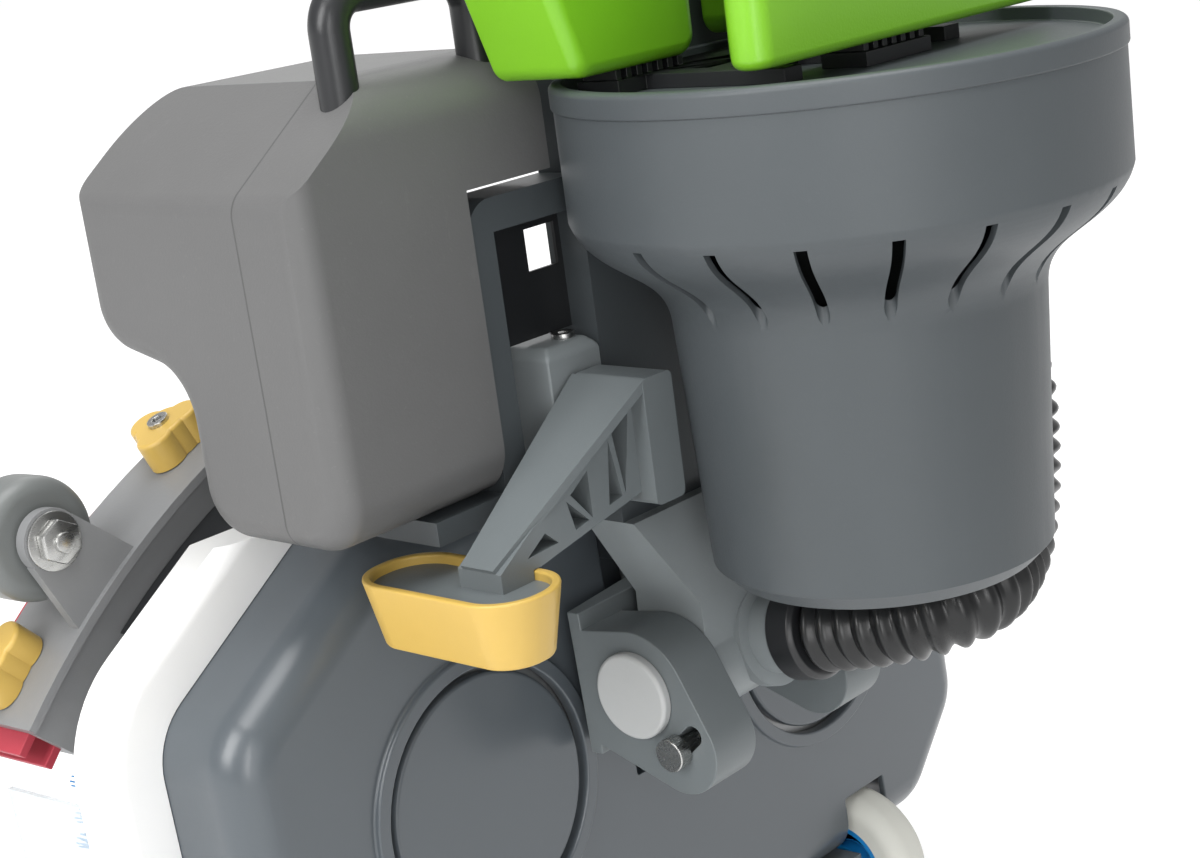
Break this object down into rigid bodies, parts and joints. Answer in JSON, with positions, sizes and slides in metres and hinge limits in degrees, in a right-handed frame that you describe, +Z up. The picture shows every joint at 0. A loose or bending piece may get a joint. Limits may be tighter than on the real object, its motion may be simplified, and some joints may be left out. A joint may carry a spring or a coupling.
{
  "type": "upright floor scrubber",
  "caption": "Upright battery floor scrubber: folded scrub deck on wheels with brushes and squeegee, swivel column with vacuum bucket, saddle tanks, batteries, pedal and T-handle.",
  "frame": {"origin": "on the floor, under the middle of the bounding box of the parked machine", "axes": "+Z up, +Y to the rear where the operator stands, +X to the machine's left"},
  "size_m": [0.5586, 0.4056, 1.1833],
  "materials": {
    "shell_grey": "moulded, fine satin grain",
    "tank_grey": "rotation moulded, fine speckle",
    "frame_grey": "moulded, satin",
    "rim_white": "smooth, semi-gloss",
    "skirt_clear": "clear, flexible",
    "accent_yellow": "moulded, satin",
    "battery_green": "moulded, fine grain, semi-gloss",
    "blade_red": "smooth wiping rubber",
    "black_plastic": "moulded, satin",
    "hose_black": "ribbed, satin",
    "grip_black": "soft grip",
    "bristle_blue": "nylon filament",
    "hub_blue": "moulded, glossy",
    "tyre_grey": "non-marking grey rubber",
    "steel": "turned",
    "tube_aluminium": "anodised, satin",
    "motor_metal": "cast, ribbed",
    "button_red": "moulded"
  },
  "bodies": {
    "deck": {"deck_housing": "shell_grey", "deck_rim": "rim_white", "splash_guard": "skirt_clear", "axle_bracket": "frame_grey", "wheel_axle": "steel", "motor_cover_right": "shell_grey", "motor_cover_left": "shell_grey", "brush_motor_right": "motor_metal", "brush_motor_left": "motor_metal", "squeegee_frame": "frame_grey", "squeegee_blade_front": "blade_red", "squeegee_blade_rear": "blade_red", "suction_duct": "black_plastic", "roll_pin": "steel"},
    "wheel_right": {"wheel_hub_right": "hub_blue", "wheel_tyre_right": "tyre_grey"},
    "wheel_left": {"wheel_hub_left": "hub_blue", "wheel_tyre_left": "tyre_grey"},
    "brush_right": {"drive_hub_right": "black_plastic", "brush_plate_right": "black_plastic", "brush_bristles_right": "bristle_blue"},
    "brush_left": {"drive_hub_left": "black_plastic", "brush_plate_left": "black_plastic", "brush_bristles_left": "bristle_blue"},
    "knob_inner_right": {"squeegee_knob_inner_right": "accent_yellow"},
    "knob_outer_right": {"squeegee_knob_outer_right": "accent_yellow"},
    "knob_inner_left": {"squeegee_knob_inner_left": "accent_yellow"},
    "knob_outer_left": {"squeegee_knob_outer_left": "accent_yellow"},
    "roller_right": {"squeegee_roller_right": "tyre_grey"},
    "roller_left": {"squeegee_roller_left": "tyre_grey"},
    "swivel": {"swivel_base": "frame_grey", "pivot_pin": "steel", "pivot_cap": "frame_grey"},
    "park_bolt": {"park_bolt": "steel"},
    "column": {"column_neck": "frame_grey", "column_frame": "frame_grey", "column_tube": "tube_aluminium", "bucket": "shell_grey", "bucket_rim": "shell_grey", "vacuum_motor": "motor_metal", "battery_contacts": "black_plastic", "suction_hose": "hose_black", "hose_cuff_lower": "black_plastic", "hose_cuff_upper": "black_plastic", "pedal_block": "frame_grey", "handle_head": "frame_grey", "grip_right": "grip_black", "grip_left": "grip_black"},
    "fan": {"vacuum_fan": "black_plastic"},
    "pedal": {"foot_pedal": "frame_grey", "pedal_pad": "accent_yellow"},
    "battery_front": {"battery_front": "battery_green"},
    "battery_right": {"battery_right": "battery_green"},
    "battery_left": {"battery_left": "battery_green"},
    "tank_right": {"tank_right": "tank_grey", "tank_handle_right": "black_plastic"},
    "tank_left": {"tank_left": "tank_grey", "tank_handle_left": "black_plastic"},
    "trigger": {"trigger": "black_plastic"},
    "power_button": {"power_button": "button_red"}
  },
  "joints": [
    {"name": "wheel_right_spin", "type": "hinge", "parent": "deck", "child": "wheel_right", "pos_m": [-0.143, -0.01783, 0.04], "axis": [1, 0, 0], "continuous": true},
    {"name": "brush_right_spin", "type": "hinge", "parent": "deck", "child": "brush_right", "pos_m": [-0.1175, 0.004, 0.18788], "axis": [0, -0.9744, 0.225], "continuous": true},
    {"name": "roller_right_spin", "type": "hinge", "parent": "deck", "child": "roller_right", "pos_m": [-0.24042, 0.1553, 0.30978], "axis": [0, -0.9744, 0.225], "continuous": true},
    {"name": "knob_inner_right_turn", "type": "hinge", "parent": "deck", "child": "knob_inner_right", "pos_m": [-0.15092, 0.16795, 0.32014], "axis": [-0.3971, 0.2064, 0.8942], "continuous": true},
    {"name": "knob_outer_right_turn", "type": "hinge", "parent": "deck", "child": "knob_outer_right", "pos_m": [-0.25672, 0.15253, 0.25331], "axis": [-0.6756, 0.1659, 0.7184], "continuous": true},
    {"name": "wheel_left_spin", "type": "hinge", "parent": "deck", "child": "wheel_left", "pos_m": [0.143, -0.01783, 0.04], "axis": [1, 0, 0], "continuous": true},
    {"name": "brush_left_spin", "type": "hinge", "parent": "deck", "child": "brush_left", "pos_m": [0.1175, 0.004, 0.18788], "axis": [0, -0.9744, 0.225], "continuous": true},
    {"name": "roller_left_spin", "type": "hinge", "parent": "deck", "child": "roller_left", "pos_m": [0.24042, 0.1553, 0.30978], "axis": [0, -0.9744, 0.225], "continuous": true},
    {"name": "knob_inner_left_turn", "type": "hinge", "parent": "deck", "child": "knob_inner_left", "pos_m": [0.15092, 0.16795, 0.32014], "axis": [0.3971, 0.2064, 0.8942], "continuous": true},
    {"name": "knob_outer_left_turn", "type": "hinge", "parent": "deck", "child": "knob_outer_left", "pos_m": [0.25672, 0.15253, 0.25331], "axis": [0.6756, 0.1659, 0.7184], "continuous": true},
    {"name": "column_roll", "type": "hinge", "parent": "deck", "child": "swivel", "pos_m": [0, 0.00753, 0.22093], "axis": [0, 0.225, 0.9744], "range_deg": [-4, 4]},
    {"name": "column_pitch", "type": "hinge", "parent": "swivel", "child": "column", "pos_m": [0, -0.0334, 0.23038], "axis": [1, 0, 0], "range_deg": [0, 56]},
    {"name": "park_bolt_slide", "type": "slide", "parent": "swivel", "child": "park_bolt", "axis": [0, -0.6045, 0.7966], "range_m": [0, 0.012]},
    {"name": "fan_spin", "type": "hinge", "parent": "column", "child": "fan", "pos_m": [0, -0.10189, 0.39477], "axis": [0, 0.1736, 0.9848], "continuous": true},
    {"name": "pedal_press", "type": "hinge", "parent": "column", "child": "pedal", "pos_m": [-0.071, -0.01395, 0.34068], "axis": [0, -0.9848, 0.1736], "range_deg": [0, 12], "stiffness_Nm_per_rad": 2, "springref_deg": -17.19},
    {"name": "battery_front_lift", "type": "slide", "parent": "column", "child": "battery_front", "axis": [0, 0.1736, 0.9848], "range_m": [0, 0.15]},
    {"name": "battery_right_lift", "type": "slide", "parent": "column", "child": "battery_right", "axis": [0, 0.1736, 0.9848], "range_m": [0, 0.15]},
    {"name": "battery_left_lift", "type": "slide", "parent": "column", "child": "battery_left", "axis": [0, 0.1736, 0.9848], "range_m": [0, 0.15]},
    {"name": "tank_right_lift", "type": "slide", "parent": "column", "child": "tank_right", "axis": [0, 0.1736, 0.9848], "range_m": [0, 0.12]},
    {"name": "tank_left_lift", "type": "slide", "parent": "column", "child": "tank_left", "axis": [0, 0.1736, 0.9848], "range_m": [0, 0.12]},
    {"name": "trigger_squeeze", "type": "hinge", "parent": "column", "child": "trigger", "pos_m": [-0.066, 0.13441, 1.11874], "axis": [0, 0.9848, -0.1736], "range_deg": [0, 7], "stiffness_Nm_per_rad": 0.4, "springref_deg": -5.73},
    {"name": "power_button_press", "type": "slide", "parent": "column", "child": "power_button", "axis": [0, -0.1736, -0.9848], "range_m": [0, 0.003], "stiffness_N_per_m": 300, "springref_m": -0.002}
  ],
  "couplings": [
    {"joint": "park_bolt_slide", "follows": "pedal_press", "m_per_rad": 0.057009}
  ]
}
